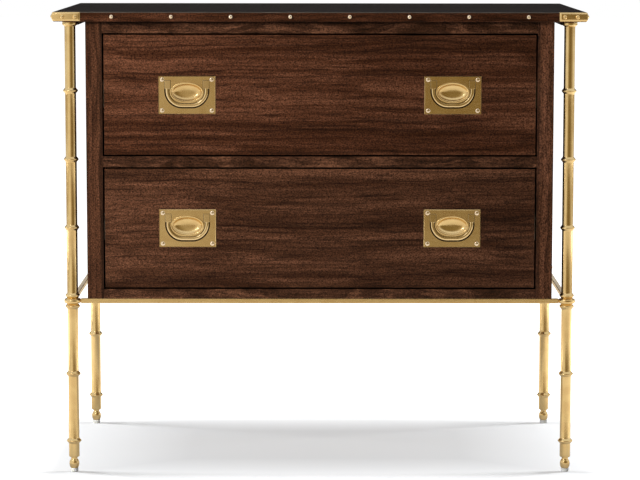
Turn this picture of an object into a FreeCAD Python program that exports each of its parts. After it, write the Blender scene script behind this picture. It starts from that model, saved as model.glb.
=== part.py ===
import FreeCAD, Part
import math
import os
import Sketcher

# Two-drawer campaign chest in walnut, carried by four faux-bamboo brass posts.
# Millimetres. X runs to the right, Y to the back, Z up.
# The origin is on the floor, under the middle of the chest, and the drawers open towards -Y.

doc = FreeCAD.newDocument("campaign_chest")
sheet = doc.addObject("Spreadsheet::Sheet", "Sizes")
kept = []


def number_of(value):
    """The plain number behind a size, or the number itself."""
    return value.number if isinstance(value, Size) else float(value)


def formula_of(value):
    """The sheet formula behind a size, or the number as text."""
    return value.formula if isinstance(value, Size) else repr(value)


class Size:
    """A size that keeps its number beside the sheet formula that works it out."""

    def __init__(self, number, formula):
        self.number = number
        self.formula = formula

    def __add__(self, other):
        return Size(self.number + number_of(other), "(%s + %s)" % (self.formula, formula_of(other)))

    def __radd__(self, other):
        return self + other

    def __sub__(self, other):
        return Size(self.number - number_of(other), "(%s - %s)" % (self.formula, formula_of(other)))

    def __rsub__(self, other):
        return Size(number_of(other) - self.number, "(%s - %s)" % (formula_of(other), self.formula))

    def __mul__(self, other):
        return Size(self.number * number_of(other), "(%s * %s)" % (self.formula, formula_of(other)))

    def __rmul__(self, other):
        return self * other

    def __truediv__(self, other):
        return Size(self.number / number_of(other), "(%s / %s)" % (self.formula, formula_of(other)))

    def __neg__(self):
        return Size(-self.number, "(0 - %s)" % self.formula)


# Whole chest
top_width = 864  # top, left to right
top_depth = 457  # top, front to back
chest_height = 762  # floor to the upper face of the top
top_thickness = 16  # thickness of the top
top_arris = 1  # bevel round the upper and lower edges of the top
post_inset = 25  # edge of the top to the middle of each post
case_inset = 50  # edge of the top to the side of the case
rail_underside = 282.5  # floor to the underside of the brass rails

# Brass posts, legs and rails
post_diameter = 18  # upper post between its rings
leg_diameter = 17.5  # lower leg between its rings
ring_diameter = 24.5  # crest of a bamboo ring
ring_height = 10  # foot to foot of a bamboo ring along the post
highest_ring_drop = 105  # foot of the collar to the middle of the highest ring
lowest_ring_rise = 52.5  # floor to the middle of the lowest ring
collar_diameter = 25  # collar at the head of a post
collar_height = 8  # collar at the head of a post
collar_taper = 2.5  # tapered lower edge of the collar
stud_diameter = 8  # studs at both ends of an upper post, corner to corner
stud_reach = 16  # lower stud beyond the corner disc, up and down
head_stud_reach = 9  # upper stud beyond the underside of the top, up and down
socket_clearance = 0.1  # room round a stud and at its ends
disc_diameter = 28  # corner disc where the rails meet
rail_size = 8  # square section of the brass rails
ball_diameter = 16.5  # ball foot
ball_center = 14.5  # floor to the middle of the ball foot
ball_top = 21.5  # floor to where the ball foot meets its neck
neck_diameter = 11  # neck above the ball foot
neck_top = 25  # floor to the top of the neck
glide_diameter = 13  # nylon glide under the foot
glide_height = 6.5  # nylon glide under the foot

# Case
stile_width = 27  # face frame, upright
frame_thickness = 20  # face frame, front to back
top_rail_height = 19.5  # face frame, rail under the top
mid_rail_height = 18  # face frame, rail between the drawers
bottom_rail_height = 16  # face frame, lowest rail
tenon_length = 15  # tenon into a stile
tenon_thickness = 8  # tenon, front to back
tenon_shoulder = 3  # tenon, shoulder above and below
side_thickness = 18  # case side panel
bottom_thickness = 16  # case bottom panel
back_thickness = 9  # case back panel
stretcher_width = 60  # stretcher under the top, front to back
stretcher_thickness = 19  # stretcher under the top
batten_width = 25  # batten under the top, beside the case
batten_height = 6.5  # batten under the top, beside the case

# Brass corner brackets and nails on the edge of the top
bracket_leg = 44  # corner bracket, each leg
bracket_thickness = 2  # corner bracket
bracket_bevel = 1.5  # bevel at the ends of a corner bracket
bracket_corner = 2.4  # bevel down the corner of a corner bracket
nail_diameter = 7.4  # head of a brass nail
nail_crown = 3.6  # flat crown of a brass nail
nail_height = 3.4  # head of a brass nail
front_nail_inset = 94.25  # corner of the top to the first nail between the brackets, along the front
side_nail_inset = 118.5  # corner of the top to the first nail between the brackets, along a side
corner_nail_near = 15  # corner to the first bracket nail
corner_nail_far = 35.5  # corner to the second bracket nail

# Drawers
drawer_gap = 2.5  # gap round a drawer front
front_thickness = 20  # drawer front
box_side_thickness = 12  # drawer box sides and back
box_side_rise = 18  # lower edge of the front to the lower edge of the sides
box_side_drop = 18  # upper edge of the front to the upper edge of the sides
box_rear_room = 32  # rear end of the drawer sides to the case back
box_back_inset = 10  # rear end of the sides to the drawer back
box_bottom_thickness = 6  # drawer bottom
box_bottom_rise = 10  # lower edge of the sides to the drawer bottom
housing_depth = 6  # depth of the grooves for bottom and back
tail_length = 12  # dovetails, into the back of the front
tail_gap = 14  # one dovetail to the next at their wide ends
tail_flare = 2.5  # widening of a dovetail on each side

# Telescopic drawer slides
slide_space = 12.7  # drawer side to the inner edge of the stile
slide_setback = 2  # slide members, short of the drawer side at both ends
slide_height = 45  # case member of a slide
slide_wall = 1.2  # sheet steel of the slides
slide_clearance = 0.3  # running room between slide members
slide_flange = 9  # flanges of the slide members

# Flush campaign pulls
pull_inset = 135.5  # end of a drawer front to the middle of its pull
plate_width = 93  # pull plate, left to right
plate_height = 62.5  # pull plate, bottom to top
plate_thickness = 2  # pull plate at its border
plate_proud = 1.2  # pull plate in front of the drawer front
plate_bevel = 0.6  # bevel round the pull plate
bail_half_width = 35  # middle of the plate to the outside of the bail
bail_bottom = 20  # middle of the plate down to the bail's lower edge
bail_corner = 27  # outer radius of the bail's bends
bail_rod = 6.2  # width of the bail's rod
bail_thickness = 3  # bail, front to back
bail_bevel = 1.2  # bevels along the front of the bail's rod
lug_width = 10  # lug at each end of the bail
lug_step = 1.5  # lug beyond the outside of the rod
lug_top = 23.7  # middle of the plate up to the top of the lugs
lug_length = 13.5  # lug, top to bottom
lug_bevel = 0.9  # bevels at the top of a lug, front and back
pintle_diameter = 1.8  # pintle of a lug
pintle_length = 2.4  # pintle beyond the lug
pintle_clearance = 0.08  # radial room round a pintle
channel_gap = 1.8  # outside of the rod to the edge of its channel
channel_clearance = 0.35  # room round the lugs, behind and inside the bail
pan_wall = 2  # cast metal round the channel and behind the bowl
bowl_length = 55  # oval bowl, left to right
bowl_height = 34  # oval bowl, bottom to top
bowl_depth = 8  # oval bowl
bowl_rise = 4.3  # middle of the plate up to the middle of the bowl
mortise_clearance = 0.2  # room round a pull in the drawer front
screw_diameter = 7  # head of a plate screw
screw_crown = 5  # flat crown of a plate screw
screw_height = 1.2  # head of a plate screw
screw_inset = 6  # edge of the plate to the middle of a screw

# Every length above becomes a cell of the sheet, and from here on its name stands for that cell
lengths = {name: value for name, value in globals().items() if isinstance(value, (int, float))}
for row, (name, value) in enumerate(lengths.items(), 1):
    cell = "B%d" % row
    sheet.set("A%d" % row, name.replace("_", " "))
    sheet.set(cell, str(value))
    sheet.setAlias(cell, name)
    globals()[name] = Size(float(sheet.getContents(cell)), "Sizes." + name)

# Counts
HEAD_SIDES = 8
STUD_SIDES = 6
TAILS_PER_SIDE = 4
UPPER_RINGS = 4
LOWER_RINGS = 3
FRONT_NAILS = 8
SIDE_NAILS = 3

doc.recompute()

# Levels and places that several pieces share
top_underside = chest_height - top_thickness
case_floor = rail_underside + rail_size
post_x = top_width / 2 - post_inset
post_y = top_depth / 2 - post_inset
case_front = -(post_y + rail_size / 2)
case_back = post_y + rail_size / 2
frame_back = case_front + frame_thickness
case_half = top_width / 2 - case_inset
opening_half = case_half - stile_width
side_inner = case_half - side_thickness
opening_height = (top_underside - case_floor - top_rail_height - mid_rail_height - bottom_rail_height) / 2
lower_opening_low = case_floor + bottom_rail_height
lower_opening_high = lower_opening_low + opening_height
upper_opening_low = lower_opening_high + mid_rail_height
upper_opening_high = upper_opening_low + opening_height
front_rear = case_front + front_thickness
box_rear = case_back - back_thickness - box_rear_room
slide_front = front_rear + slide_setback
slide_length = box_rear - slide_setback - slide_front


def bind(piece, name, value):
    """Ties one property of an object to the sheet."""
    if isinstance(value, Size):
        piece.setExpression(name, value.formula)


def place(piece, x, y, z):
    """Ties an object's position to the sheet."""
    bind(piece, "Placement.Base.x", x)
    bind(piece, "Placement.Base.y", y)
    bind(piece, "Placement.Base.z", z)


def keep(piece, label):
    """Marks an object as one of the finished pieces and gives it its name."""
    piece.Label = label
    kept.append(piece)
    return piece


def board(name, x, y, z):
    """A rectangular board between a low and a high plane along X, Y and Z."""
    piece = doc.addObject("Part::Box", name)
    bind(piece, "Length", x[1] - x[0])
    bind(piece, "Width", y[1] - y[0])
    bind(piece, "Height", z[1] - z[0])
    place(piece, x[0], y[0], z[0])
    return piece


def both_ways(half):
    """A span that reaches as far to the left as to the right."""
    return (-half, half)


def group(name, pieces):
    """Separate solids that share one object."""
    compound = doc.addObject("Part::Compound", name)
    compound.Links = pieces
    return compound


def cut(name, base, tools):
    """The base less every tool."""
    piece = doc.addObject("Part::Cut", name)
    piece.Base = base
    piece.Tool = tools[0] if len(tools) == 1 else group(name + "_tools", tools)
    return piece


def fuse(name, pieces):
    """Several shapes made one."""
    piece = doc.addObject("Part::MultiFuse", name)
    piece.Shapes = pieces
    return piece


def mirrored(name, source):
    """The same piece on the other side of the chest's middle plane."""
    piece = doc.addObject("Part::Mirroring", name)
    piece.Source = source
    piece.Normal = (1, 0, 0)
    return piece


def sketch_on(body, plane, name):
    """An empty sketch on one of the body's own origin planes."""
    sketch = body.newObject("Sketcher::SketchObject", name)
    support = [feature for feature in body.Origin.OriginFeatures if feature.Role == plane]
    sketch.AttachmentSupport = [(support[0], "")]
    sketch.MapMode = "FlatFace"
    return sketch


def pin_corner(sketch, edge, end, x, y):
    """Ties one corner of a sketch to its two coordinates."""
    for kind, axis, value in (("DistanceX", -2, x), ("DistanceY", -1, y)):
        if number_of(value) == 0:
            sketch.addConstraint(Sketcher.Constraint("PointOnObject", edge, end, axis))
        else:
            spot = sketch.addConstraint(Sketcher.Constraint(kind, -1, 1, edge, end, number_of(value)))
            sketch.setExpression("Constraints[%d]" % spot, formula_of(value))


def draw(sketch, corners, closed=True):
    """Draws an outline, anticlockwise.

    A corner is (x, y) where a straight edge leads on to the next corner, and
    (x, y, radius, crown_x, crown_y) where an arc does, over its crown.
    """
    edges = len(corners) if closed else len(corners) - 1
    for index in range(edges):
        corner = corners[index]
        following = corners[(index + 1) % len(corners)]
        start = FreeCAD.Vector(number_of(corner[0]), number_of(corner[1]), 0)
        end = FreeCAD.Vector(number_of(following[0]), number_of(following[1]), 0)
        if len(corner) == 2:
            sketch.addGeometry(Part.LineSegment(start, end), False)
        else:
            crown = FreeCAD.Vector(number_of(corner[3]), number_of(corner[4]), 0)
            sketch.addGeometry(Part.Arc(start, crown, end), False)
    for index in range(edges if closed else edges - 1):
        sketch.addConstraint(Sketcher.Constraint("Coincident", index, 2, (index + 1) % edges, 1))
    for index in range(edges):
        pin_corner(sketch, index, 1, corners[index][0], corners[index][1])
    if not closed:
        pin_corner(sketch, edges - 1, 2, corners[edges][0], corners[edges][1])
    for index in range(edges):
        if len(corners[index]) > 2:
            radius = corners[index][2]
            spot = sketch.addConstraint(Sketcher.Constraint("Radius", index, number_of(radius)))
            sketch.setExpression("Constraints[%d]" % spot, formula_of(radius))


def prism(name, plane, corners, depth, x=0, y=0, z=0):
    """An outline on a plane, made solid towards +X, +Y or +Z."""
    body = doc.addObject("PartDesign::Body", name)
    sketch = sketch_on(body, plane, name + "_outline")
    draw(sketch, corners)
    pad = body.newObject("PartDesign::Pad", name + "_pad")
    pad.Profile = sketch
    pad.Reversed = plane == "XZ_Plane"
    bind(pad, "Length", depth)
    place(body, x, y, z)
    return body


def turned(name, corners, x=0, y=0, z=0):
    """A piece turned about an upright axis. Each corner is a radius and a height."""
    body = doc.addObject("PartDesign::Body", name)
    sketch = sketch_on(body, "XZ_Plane", name + "_outline")
    draw(sketch, corners)
    turn = body.newObject("PartDesign::Revolution", name + "_turning")
    turn.Profile = sketch
    turn.ReferenceAxis = (sketch, ["V_Axis"])
    turn.Angle = 360
    place(body, x, y, z)
    return body


def polygon(name, sides, diameter, height):
    """A regular outline round the Z axis at a height."""
    outline = doc.addObject("Part::RegularPolygon", name)
    outline.Polygon = sides
    bind(outline, "Circumradius", diameter / 2)
    bind(outline, "Placement.Base.z", height)
    return outline


def head_kind(name, diameter, crown, height):
    """The rim and the crown between which heads of one kind are lofted."""
    return [polygon(name + "_rim", HEAD_SIDES, diameter, 0),
            polygon(name + "_crown", HEAD_SIDES, crown, height)]


def fastener_head(name, kind, x, y, z, facing):
    """A low faceted head on a surface that faces along the given direction."""
    head = doc.addObject("Part::Loft", name)
    head.Sections = kind
    head.Solid = True
    head.Ruled = True
    head.Placement.Rotation = FreeCAD.Rotation(FreeCAD.Vector(0, 0, 1), FreeCAD.Vector(*facing))
    place(head, x, y, z)
    return head


def stud(name, diameter, low, high, x, y):
    """An upright six-sided bar round an axis, between two levels."""
    bar = doc.addObject("Part::Prism", name)
    bar.Polygon = STUD_SIDES
    bind(bar, "Circumradius", diameter / 2)
    bind(bar, "Height", high - low)
    place(bar, x, y, low)
    return bar


# Top: one slab with a fine bevel, bored from below for the studs of the posts

def make_top(head_sockets):
    slab = doc.addObject("PartDesign::Body", "slab")
    sketch = sketch_on(slab, "XY_Plane", "slab_outline")
    half_width = top_width / 2
    half_depth = top_depth / 2
    draw(sketch, [(-half_width, -half_depth), (half_width, -half_depth),
                  (half_width, half_depth), (-half_width, half_depth)])
    pad = slab.newObject("PartDesign::Pad", "slab_pad")
    pad.Profile = sketch
    bind(pad, "Length", top_thickness)
    doc.recompute()
    bevel = slab.newObject("PartDesign::Chamfer", "slab_bevel")
    bevel.Base = (pad, ["Face5", "Face6"])
    bind(bevel, "Size", top_arris)
    place(slab, 0, 0, top_underside)
    keep(cut("top_cut", slab, head_sockets), "top_slab")


def post_places():
    """The four corners: side, end and the axis of the post there."""
    return [("left", "front", -post_x, -post_y), ("right", "front", post_x, -post_y),
            ("left", "rear", -post_x, post_y), ("right", "rear", post_x, post_y)]


# Studs: one between each post and its leg, through the corner disc, and one between post and top

def make_studs():
    """Keeps the studs and returns the sockets for the posts' heads and for their feet."""
    studs = []
    head_sockets = []
    foot_sockets = []
    room = socket_clearance
    bore = stud_diameter + 2 * room
    for side, end, x, y in post_places():
        name = "%s_%s" % (end, side)
        low = rail_underside - stud_reach
        high = case_floor + stud_reach
        studs.append(stud(name + "_foot_stud", stud_diameter, low, high, x, y))
        foot_sockets.append(stud(name + "_foot_socket", bore, low - room, high + room, x, y))
        low = top_underside - head_stud_reach
        high = top_underside + head_stud_reach
        studs.append(stud(name + "_head_stud", stud_diameter, low, high, x, y))
        head_sockets.append(stud(name + "_head_socket", bore, low - room, high + room, x, y))
    keep(group("studs", studs), "joint_studs")
    return head_sockets, foot_sockets


# Brackets: brass angles round the corners of the top, as tall as its edge

def make_brackets():
    outer = bracket_thickness
    tip = bracket_leg - bracket_bevel
    corner = bracket_corner - outer
    outline = [(corner, -outer), (tip, -outer), (bracket_leg, bracket_bevel - outer),
               (bracket_leg, 0), (0, 0), (0, bracket_leg),
               (bracket_bevel - outer, bracket_leg), (-outer, tip), (-outer, corner)]
    turns = {("left", "front"): 0, ("right", "front"): 90, ("right", "rear"): 180, ("left", "rear"): 270}
    for (side, end), angle in turns.items():
        x = top_width / 2 if side == "right" else -(top_width / 2)
        y = top_depth / 2 if end == "rear" else -(top_depth / 2)
        bracket = prism("bracket_%s_%s" % (end, side), "XY_Plane", outline, top_thickness,
                        x, y, top_underside)
        bracket.Placement.Rotation = FreeCAD.Rotation(FreeCAD.Vector(0, 0, 1), angle)
        keep(bracket, "%s_%s_corner_bracket" % (end, side))


# Nails: brass nails along the front and side edges, and two through each bracket leg

def make_nails():
    level = top_underside + top_thickness / 2
    half_width = top_width / 2
    half_depth = top_depth / 2
    front_pitch = (top_width - 2 * front_nail_inset) / (FRONT_NAILS - 1)
    side_pitch = (top_depth - 2 * side_nail_inset) / (SIDE_NAILS - 1)
    heads = []
    for index in range(FRONT_NAILS):
        x = front_pitch * (index - (FRONT_NAILS - 1) / 2)
        heads.append((x, -half_depth, (0, -1, 0)))
    for sign in (-1, 1):
        for index in range(SIDE_NAILS):
            y = side_pitch * (index - (SIDE_NAILS - 1) / 2)
            heads.append((sign * half_width, y, (sign, 0, 0)))
    for sign_x in (-1, 1):
        for sign_y in (-1, 1):
            for reach in (corner_nail_near, corner_nail_far):
                face_x = sign_x * (half_width + bracket_thickness)
                face_y = sign_y * (half_depth + bracket_thickness)
                heads.append((sign_x * (half_width - reach), face_y, (0, sign_y, 0)))
                heads.append((face_x, sign_y * (half_depth - reach), (sign_x, 0, 0)))
    kind = head_kind("nail", nail_diameter, nail_crown, nail_height)
    nails = []
    for index, (x, y, facing) in enumerate(heads):
        nails.append(fastener_head("nail_%02d" % (index + 1), kind, x, y, level, facing))
    keep(group("nails", nails), "top_nails")


# Posts: turned brass with bamboo rings and a collar under the top

def ring_corners(radius, height):
    """The outline of one bamboo ring, from its foot up."""
    half = ring_height / 2
    return [(radius, height - half), (ring_diameter / 2, height), (radius, height + half)]


def make_posts(head_sockets, foot_sockets):
    radius = post_diameter / 2
    collar = collar_diameter / 2
    length = top_underside - case_floor
    lowest = ring_height / 2
    pitch = (length - collar_height - highest_ring_drop - lowest) / (UPPER_RINGS - 1)
    outline = [(0, 0)]
    for index in range(UPPER_RINGS):
        outline += ring_corners(radius, lowest + pitch * index)
    outline += [(radius, length - collar_height), (collar, length - collar_height + collar_taper),
                (collar, length), (0, length)]
    for (side, end, x, y), head, foot in zip(post_places(), head_sockets, foot_sockets):
        name = "post_%s_%s" % (end, side)
        blank = turned(name + "_turning", outline, x, y, case_floor)
        keep(cut(name, blank, [head, foot]), "%s_%s_upper_post" % (end, side))


# Legs: turned brass with bamboo rings, ending in a neck and a ball foot

def make_legs(foot_sockets):
    radius = leg_diameter / 2
    neck = neck_diameter / 2
    outline = [(0, glide_height), (glide_diameter / 2, glide_height), (ball_diameter / 2, ball_center),
               (neck, ball_top), (neck, neck_top), (radius, neck_top)]
    pitch = (rail_underside - ring_height / 2 - lowest_ring_rise) / (LOWER_RINGS - 1)
    for index in range(LOWER_RINGS):
        outline += ring_corners(radius, lowest_ring_rise + pitch * index)
    outline += [(0, rail_underside)]
    pairs = {"front": [], "rear": []}
    for (side, end, x, y), foot in zip(post_places(), foot_sockets):
        name = "leg_%s_%s" % (end, side)
        blank = turned(name + "_turning", outline, x, y, 0)
        pairs[end].append(cut(name, blank, [foot]))
    for end, pair in pairs.items():
        keep(group(end + "_legs", pair), end + "_lower_legs")


def make_glides():
    glides = []
    for side, end, x, y in post_places():
        glide = doc.addObject("Part::Cylinder", "glide_%s_%s" % (end, side))
        bind(glide, "Radius", glide_diameter / 2)
        bind(glide, "Height", glide_height)
        place(glide, x, y, 0)
        glides.append(glide)
    keep(group("glides", glides), "foot_glides")


# Rails: square brass bars saddled against the corner discs that the studs pass through

def make_rails(foot_sockets):
    blanks = []
    discs = []
    for (side, end, x, y), socket in zip(post_places(), foot_sockets):
        name = "disc_%s_%s" % (end, side)
        blank = doc.addObject("Part::Cylinder", name + "_blank")
        bind(blank, "Radius", disc_diameter / 2)
        bind(blank, "Height", rail_size)
        place(blank, x, y, rail_underside)
        blanks.append(blank)
        discs.append(cut(name, blank, [socket]))
    keep(group("discs", discs), "rail_corner_discs")
    corner_solids = group("corner_blanks", blanks)
    half = rail_size / 2
    level = (rail_underside, case_floor)
    for end, y in (("front", -post_y), ("rear", post_y)):
        bar = board(end + "_bar", both_ways(post_x), (y - half, y + half), level)
        keep(cut(end + "_bar_cut", bar, [corner_solids]), end + "_brass_rail")
    for side, x in (("left", -post_x), ("right", post_x)):
        bar = board(side + "_bar", (x - half, x + half), both_ways(post_y), level)
        keep(cut(side + "_bar_cut", bar, [corner_solids]), side + "_brass_rail")


# Battens: a strip under the top on each side, from collar to collar

def make_battens():
    half = batten_width / 2
    reach = post_y - collar_diameter / 2
    level = (top_underside - batten_height, top_underside)
    left = board("left_batten", (-post_x - half, -post_x + half), both_ways(reach), level)
    right = board("right_batten", (post_x - half, post_x + half), both_ways(reach), level)
    keep(group("battens", [left, right]), "top_battens")


# Case: panels behind a face frame whose rails are tenoned into the stiles

def make_case():
    level = (case_floor, top_underside)
    inner_back = case_back - back_thickness
    left_side = board("left_side", (-case_half, -side_inner), (frame_back, case_back), level)
    keep(left_side, "left_side_panel")
    keep(mirrored("right_side", left_side), "right_side_panel")
    keep(board("back", both_ways(side_inner), (inner_back, case_back), level), "back_panel")
    floor = (case_floor, case_floor + bottom_thickness)
    keep(board("bottom", both_ways(side_inner), (frame_back, inner_back), floor), "bottom_panel")
    under_top = (top_underside - stretcher_thickness, top_underside)
    front_span = (frame_back, frame_back + stretcher_width)
    rear_span = (inner_back - stretcher_width, inner_back)
    stretchers = [board("front_stretcher", both_ways(side_inner), front_span, under_top),
                  board("rear_stretcher", both_ways(side_inner), rear_span, under_top)]
    keep(group("stretchers", stretchers), "top_stretchers")
    rails = []
    for name, low, height in (("top", upper_opening_high, top_rail_height),
                              ("mid", lower_opening_high, mid_rail_height),
                              ("bottom", case_floor, bottom_rail_height)):
        rail = board(name + "_rail_board", both_ways(opening_half), (case_front, frame_back),
                     (low, low + height))
        middle = (case_front + frame_back) / 2
        tenons = board(name + "_rail_tenons", both_ways(opening_half + tenon_length),
                       (middle - tenon_thickness / 2, middle + tenon_thickness / 2),
                       (low + tenon_shoulder, low + height - tenon_shoulder))
        rails.append(keep(fuse(name + "_frame_rail", [rail, tenons]), name + "_rail"))
    stile = board("left_stile_board", (-case_half, -opening_half), (case_front, frame_back), level)
    left_stile = cut("left_frame_stile", stile, rails)
    keep(left_stile, "left_stile")
    keep(mirrored("right_frame_stile", left_stile), "right_stile")


# Slides: three nested steel channels a side; packing strips bring them in line with the stiles

def channel(name, back, wall, flange, height, level):
    """One steel channel seen from the front: the back of its web, its wall and its flanges' reach."""
    half = height / 2
    floor = back + wall
    tips = back + flange
    outline = [(back, -half), (tips, -half), (tips, slide_wall - half), (floor, slide_wall - half),
               (floor, half - slide_wall), (tips, half - slide_wall), (tips, half), (back, half)]
    return prism(name, "XZ_Plane", outline, slide_length, 0, slide_front, level)


def make_slides(tier, level):
    nesting = slide_wall + slide_clearance
    members = (("case", -opening_half, slide_wall, slide_flange, slide_height),
               ("middle", nesting - opening_half, slide_wall, slide_flange, slide_height - 2 * nesting),
               ("drawer", slide_space - opening_half, -slide_wall, -slide_flange,
                slide_height - 4 * nesting))
    for kind, back, wall, flange, height in members:
        left = channel("%s_left_%s_channel" % (tier, kind), back, wall, flange, height, level)
        right = mirrored("%s_right_%s_channel" % (tier, kind), left)
        keep(group("%s_%s_channels" % (tier, kind), [left, right]), "%s_%s_slides" % (tier, kind))


def make_packing(levels):
    strips = []
    for tier, level in levels:
        height = (level - slide_height / 2, level + slide_height / 2)
        depth = (frame_back, slide_front + slide_length)
        strip = board(tier + "_left_packing", (-side_inner, -opening_half), depth, height)
        strips += [strip, mirrored(tier + "_right_packing", strip)]
    keep(group("packing", strips), "slide_packing_strips")


# Pulls: a cast plate with an oval bowl and a channel in which the bail lies flush

def bend_crown(center_x, center_y, radius, toward_x):
    """The middle of a quarter bend below its centre, on the side that toward_x points to."""
    diagonal = math.sqrt(0.5)
    return center_x + radius * (toward_x * diagonal), center_y - radius * diagonal


def loop_outline(half_width, bottom, radius, top):
    """A flat-topped loop with two quarter bends below, from its upper left corner, anticlockwise."""
    bend_x = half_width - radius
    bend_y = radius - bottom
    left_crown = bend_crown(-bend_x, bend_y, radius, -1)
    right_crown = bend_crown(bend_x, bend_y, radius, 1)
    return [(-half_width, top), (-half_width, bend_y, radius) + left_crown, (-bend_x, -bottom),
            (bend_x, -bottom, radius) + right_crown, (half_width, bend_y), (half_width, top)]


def make_barrel(name, half_length, radius, axis_radius, x, y, z):
    """The barrel that scoops a bowl: an arc turned about a level axis in front of the plate."""
    body = doc.addObject("PartDesign::Body", name)
    sketch = sketch_on(body, "XY_Plane", name + "_outline")
    rise = radius - axis_radius
    arc = (half_length * half_length + rise * rise) / (2 * rise)
    draw(sketch, [(-half_length, 0), (half_length, 0),
                  (half_length, axis_radius, arc, 0, radius), (-half_length, axis_radius)])
    turn = body.newObject("PartDesign::Revolution", name + "_turning")
    turn.Profile = sketch
    turn.ReferenceAxis = (sketch, ["H_Axis"])
    turn.Angle = 360
    place(body, x, y, z)
    return body


def make_plate(name, x, z):
    face = case_front - plate_proud
    half_width = plate_width / 2
    half_height = plate_height / 2
    flange = doc.addObject("PartDesign::Body", name + "_flange")
    sketch = sketch_on(flange, "XZ_Plane", name + "_flange_outline")
    draw(sketch, [(-half_width, -half_height), (half_width, -half_height),
                  (half_width, half_height), (-half_width, half_height)])
    pad = flange.newObject("PartDesign::Pad", name + "_flange_pad")
    pad.Profile = sketch
    pad.Reversed = True
    bind(pad, "Length", plate_thickness)
    doc.recompute()
    bevel = flange.newObject("PartDesign::Chamfer", name + "_flange_bevel")
    bevel.Base = (pad, [front_face_of(pad.Shape)])
    bind(bevel, "Size", plate_bevel)
    place(flange, x, face, z)

    channel_half = bail_half_width + channel_gap
    channel_bottom = bail_bottom + channel_gap
    channel_top = lug_top + channel_clearance
    channel_depth = bail_thickness + channel_clearance
    pan = prism(name + "_pan", "XZ_Plane",
                loop_outline(channel_half + pan_wall, channel_bottom + pan_wall,
                             bail_corner + channel_gap + pan_wall, channel_top + pan_wall),
                bowl_depth + pan_wall - plate_thickness, x, face + plate_thickness, z)
    channel = prism(name + "_channel", "XZ_Plane",
                    loop_outline(channel_half, channel_bottom, bail_corner + channel_gap, channel_top),
                    channel_depth, x, face, z)
    lug_inner = bail_half_width + lug_step - lug_width
    inner_half = bail_half_width - bail_rod
    island_low = prism(name + "_island_low", "XZ_Plane",
                       loop_outline(inner_half - channel_clearance,
                                    bail_bottom - bail_rod - channel_clearance,
                                    bail_corner - bail_rod - channel_clearance,
                                    lug_top - lug_length - channel_clearance),
                       channel_depth, x, face, z)
    island_high = board(name + "_island_high",
                        (x - lug_inner + channel_clearance, x + lug_inner - channel_clearance),
                        (face, face + channel_depth),
                        (z + lug_top - lug_length - channel_clearance, z + channel_top))
    groove = cut(name + "_groove", channel, [fuse(name + "_island", [island_low, island_high])])

    half_bowl = bowl_height / 2
    radius = (half_bowl * half_bowl / bowl_depth + bowl_depth) / 2
    axis_radius = radius - bowl_depth
    scoop = make_barrel(name + "_scoop", bowl_length / 2, radius, axis_radius,
                        x, face - axis_radius, z + bowl_rise)
    pintles = make_pintles(name + "_hole", x, z, pintle_diameter / 2 + pintle_clearance,
                           pintle_length + channel_clearance)
    solid = fuse(name + "_solid", [flange, pan])
    return cut(name, solid, [groove, scoop] + pintles)


def front_face_of(shape):
    """The name of the flat face that lies furthest to the front."""
    lows = [face.CenterOfMass.y for face in shape.Faces]
    return "Face%d" % (lows.index(min(lows)) + 1)


def pivot_height():
    """The bail's axis above the middle of the plate: the lugs are round about it."""
    return lug_top - bail_thickness / 2


def make_pintles(name, x, z, radius, length):
    """A short round bar out of each lug, along the bail's axis."""
    depth = case_front - plate_proud + bail_thickness / 2
    lug_outer = bail_half_width + lug_step
    bars = []
    for side, start in (("left", x - lug_outer - length), ("right", x + lug_outer)):
        bar = doc.addObject("Part::Cylinder", "%s_%s" % (name, side))
        bind(bar, "Radius", radius)
        bind(bar, "Height", length)
        bar.Placement.Rotation = FreeCAD.Rotation(FreeCAD.Vector(0, 1, 0), 90)
        place(bar, start, depth, z + pivot_height())
        bars.append(bar)
    return bars


def make_bail(name, x, z):
    face = case_front - plate_proud
    rod_half = bail_rod / 2
    path_half = bail_half_width - rod_half
    path_radius = bail_corner - rod_half
    path_bottom = bail_bottom - rod_half
    rod_top = lug_top - lug_length

    rod = doc.addObject("PartDesign::Body", name + "_rod")
    path = sketch_on(rod, "XZ_Plane", name + "_path")
    draw(path, loop_outline(path_half, path_bottom, path_radius, rod_top), closed=False)
    section = sketch_on(rod, "XY_Plane", name + "_section")
    bind(section, "AttachmentOffset.Base.z", rod_top)
    left = -path_half - rod_half
    right = -path_half + rod_half
    draw(section, [(left, bail_bevel), (left + bail_bevel, 0), (right - bail_bevel, 0),
                   (right, bail_bevel), (right, bail_thickness), (left, bail_thickness)])
    doc.recompute()
    sweep = rod.newObject("PartDesign::AdditivePipe", name + "_sweep")
    sweep.Profile = section
    sweep.Spine = (path, ["Edge%d" % (edge + 1) for edge in range(5)])
    place(rod, x, face, z)

    lug_outer = bail_half_width + lug_step
    profile = [(0, rod_top), (bail_thickness, rod_top), (bail_thickness, lug_top - lug_bevel),
               (bail_thickness - lug_bevel, lug_top), (lug_bevel, lug_top), (0, lug_top - lug_bevel)]
    lugs = []
    for side, low in (("left", x - lug_outer), ("right", x + lug_outer - lug_width)):
        lugs.append(prism("%s_%s_lug" % (name, side), "YZ_Plane", profile, lug_width, low, face, z))
    pintles = make_pintles(name + "_pintle", x, z, pintle_diameter / 2, pintle_length)
    return fuse(name, [rod] + lugs + pintles)


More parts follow.
